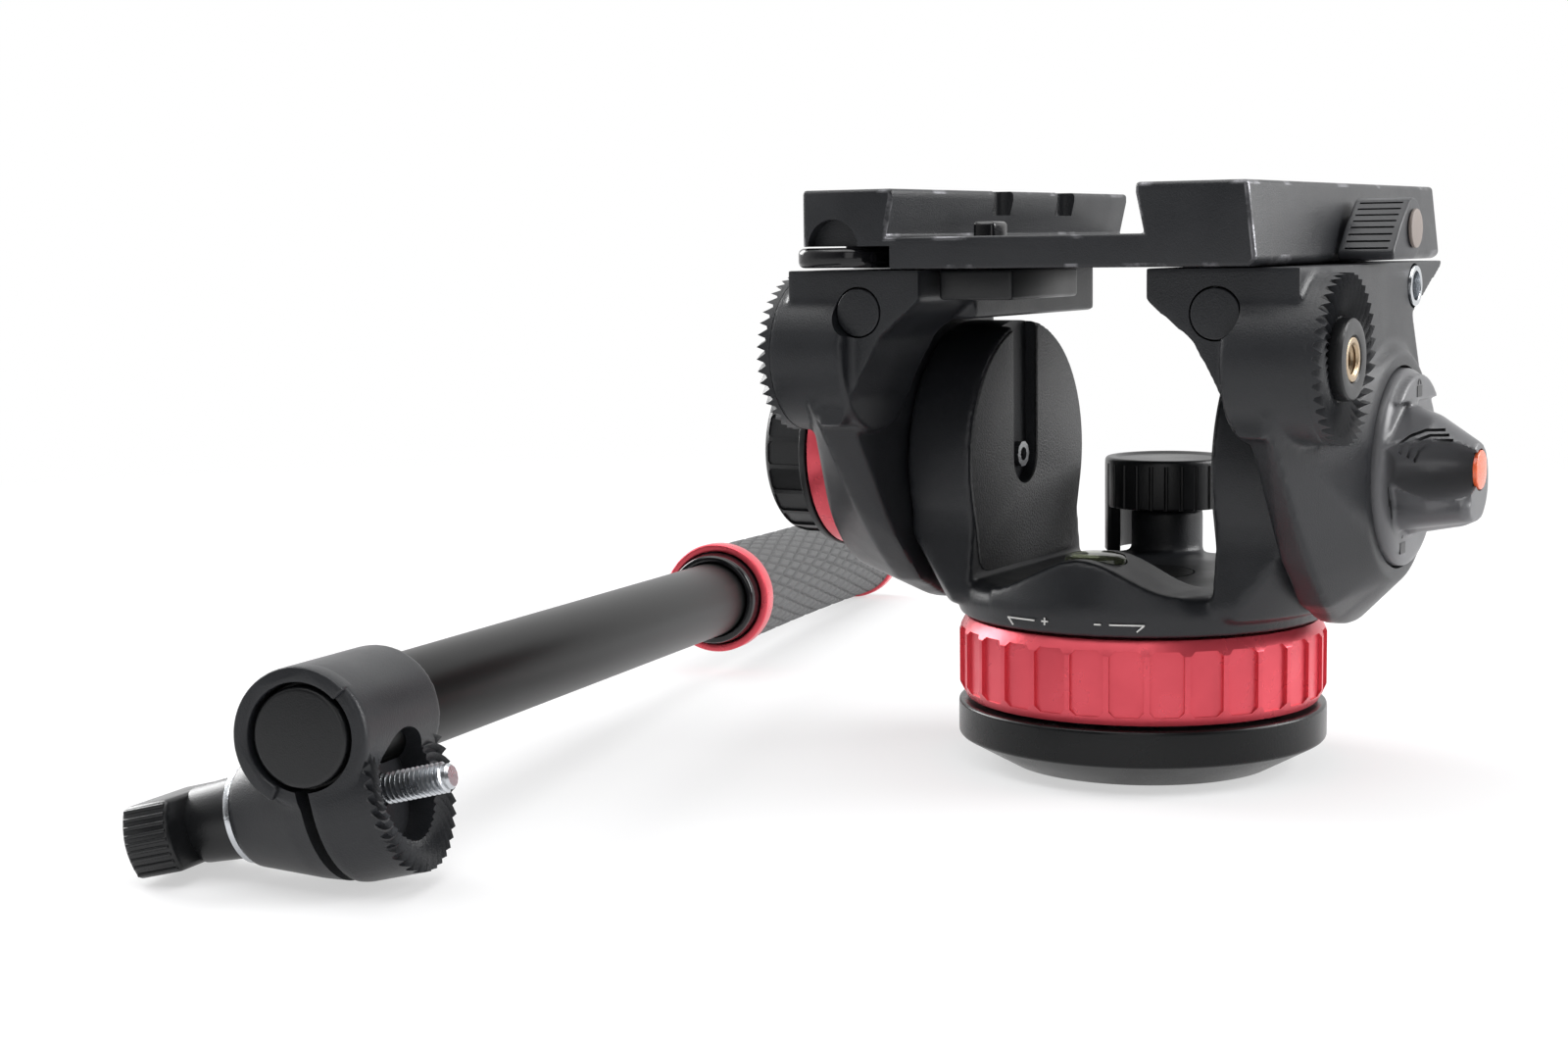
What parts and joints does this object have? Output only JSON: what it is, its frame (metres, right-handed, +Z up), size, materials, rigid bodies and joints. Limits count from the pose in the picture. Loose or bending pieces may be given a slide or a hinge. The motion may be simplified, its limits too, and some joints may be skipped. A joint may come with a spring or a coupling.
{
  "type": "fluid video head",
  "caption": "Fluid pan and tilt head on a flat base, with a plate channel on a tilting cradle, drag and lock controls, and its pan bar lying taken off beside it.",
  "frame": {"origin": "on the surface that the head stands on, at the middle of the plan of the head and its bar as they lie", "axes": "+Y from the operator's side along the plate channel and the long way of the layout, +X to the operator's right, +Z up"},
  "size_m": [0.2768, 0.395, 0.1294],
  "materials": {
    "satin_paint": "cast, painted satin black with a fine texture",
    "black_plastic": "moulded, matt",
    "gloss_plastic": "moulded, glossy",
    "red_anodised": "satin anodised",
    "steel": "turned",
    "zinc": "bright zinc plate",
    "brass": "turned, dull",
    "inner_metal": "turned, greased",
    "lever_paint": "cast, painted matt black",
    "lever_cap": "moulded, satin",
    "level_lens": "polished",
    "orange_badge": "glossy",
    "gloss_black_tube": "gloss anodised black",
    "grip_rubber": "moulded, diamond pattern"
  },
  "bodies": {
    "base": {"base_plate": "black_plastic", "tripod_thread_bushing": "brass", "pan_axle": "inner_metal", "pan_cartridge_cup": "inner_metal", "pan_axle_nut": "steel"},
    "yoke": {"pan_housing": "satin_paint", "pan_bearing": "steel", "pan_axle_cap": "black_plastic", "pan_rotor": "inner_metal", "level_vial": "level_lens", "slot_bolt": "steel", "tilt_cartridge_cup": "inner_metal", "tilt_cartridge_cover": "black_plastic", "tilt_bush_left": "brass", "tilt_brake_cup": "inner_metal", "tilt_brake_cover": "black_plastic", "tilt_bush_right": "brass", "counterbalance_spring": "steel"},
    "drag_ring": {"pan_drag_ring": "red_anodised"},
    "pan_lock": {"pan_lock_lever": "black_plastic"},
    "cradle": {"left_arm": "satin_paint", "right_arm": "satin_paint", "left_rosette_insert": "brass", "right_rosette_insert": "brass", "left_front_plug": "satin_paint", "right_front_plug": "satin_paint", "left_accessory_insert": "steel", "right_accessory_insert": "steel", "left_tilt_shaft": "steel", "right_tilt_shaft": "steel", "left_arm_screw_front": "steel", "right_arm_screw_front": "steel", "left_arm_screw_rear": "steel", "right_arm_screw_rear": "steel", "tilt_rotor": "inner_metal", "tilt_brake_disc": "steel", "platform": "satin_paint", "catch_housing": "black_plastic", "release_spring": "steel"},
    "drag_knob": {"tilt_drag_band": "red_anodised", "tilt_drag_knob": "black_plastic"},
    "lock_dial": {"tilt_lock_dial": "black_plastic", "tilt_lock_badge": "orange_badge"},
    "clamp_lever": {"plate_lever": "lever_paint", "plate_lever_cap": "lever_cap"},
    "clamp_jaw": {"plate_clamp_jaw": "inner_metal"},
    "release": {"release_tab": "gloss_plastic"},
    "catch": {"safety_catch": "gloss_plastic"},
    "bar_clamp": {"pan_bar_clamp": "satin_paint"},
    "bar": {"pan_bar_tube": "gloss_black_tube", "pan_bar_end_plug": "black_plastic", "grip_collar": "black_plastic", "grip_ring_near": "red_anodised", "grip_ring_far": "red_anodised", "rubber_grip": "grip_rubber", "grip_end_cap": "black_plastic"},
    "wing_knob": {"clamp_screw": "zinc", "clamp_washer": "zinc", "clamp_wing_knob": "black_plastic"}
  },
  "joints": [
    {"name": "pan", "type": "hinge", "parent": "base", "child": "yoke", "pos_m": [0.05883, -0.00392, 0], "axis": [0, 0, 1], "continuous": true},
    {"name": "pan_drag", "type": "hinge", "parent": "yoke", "child": "drag_ring", "pos_m": [0.05883, -0.00392, 0.024], "axis": [0, 0, 1], "range_deg": [-135, 135]},
    {"name": "pan_lock_turn", "type": "hinge", "parent": "yoke", "child": "pan_lock", "pos_m": [0.04983, 0.03408, 0.054], "axis": [0, 0, 1], "range_deg": [-60, 0]},
    {"name": "tilt", "type": "hinge", "parent": "yoke", "child": "cradle", "pos_m": [0.05883, -0.00392, 0.069], "axis": [1, 0, 0], "range_deg": [-55, 70]},
    {"name": "tilt_drag", "type": "hinge", "parent": "cradle", "child": "drag_knob", "pos_m": [-0.012, -0.00392, 0.069], "axis": [1, 0, 0], "range_deg": [-135, 135]},
    {"name": "tilt_lock", "type": "hinge", "parent": "cradle", "child": "lock_dial", "pos_m": [0.12, -0.00392, 0.069], "axis": [1, 0, 0], "range_deg": [0, 60]},
    {"name": "plate_lever_turn", "type": "hinge", "parent": "cradle", "child": "clamp_lever", "pos_m": [0.112, -0.00822, 0.1197], "axis": [1, 0, 0], "range_deg": [-110, 0]},
    {"name": "jaw_slide", "type": "slide", "parent": "cradle", "child": "clamp_jaw", "axis": [1, 0, 0], "range_m": [0, 0.002]},
    {"name": "release_press", "type": "slide", "parent": "cradle", "child": "release", "axis": [1, 0, 0], "range_m": [0, 0.003], "stiffness_N_per_m": 400, "springref_m": -0.001},
    {"name": "catch_drop", "type": "slide", "parent": "cradle", "child": "catch", "axis": [0, 0, -1], "range_m": [0, 0.0026]},
    {"name": "bar_lift", "type": "slide", "parent": "base", "child": "bar_clamp", "axis": [0, 0, 1], "range_m": [0, 0.15]},
    {"name": "bar_turn", "type": "hinge", "parent": "bar_clamp", "child": "bar", "pos_m": [-0.02767, -0.19002, 0.03076], "axis": [-0.2451, 0.9687, -0.0401], "continuous": true},
    {"name": "knob_turn", "type": "hinge", "parent": "bar_clamp", "child": "wing_knob", "pos_m": [-0.02874, -0.17332, 0.01684], "axis": [0.9424, 0.2478, 0.2248], "continuous": true}
  ],
  "couplings": [
    {"joint": "jaw_slide", "follows": "plate_lever_turn", "m_per_rad": -0.001},
    {"joint": "catch_drop", "follows": "release_press", "ratio": 0.86}
  ]
}
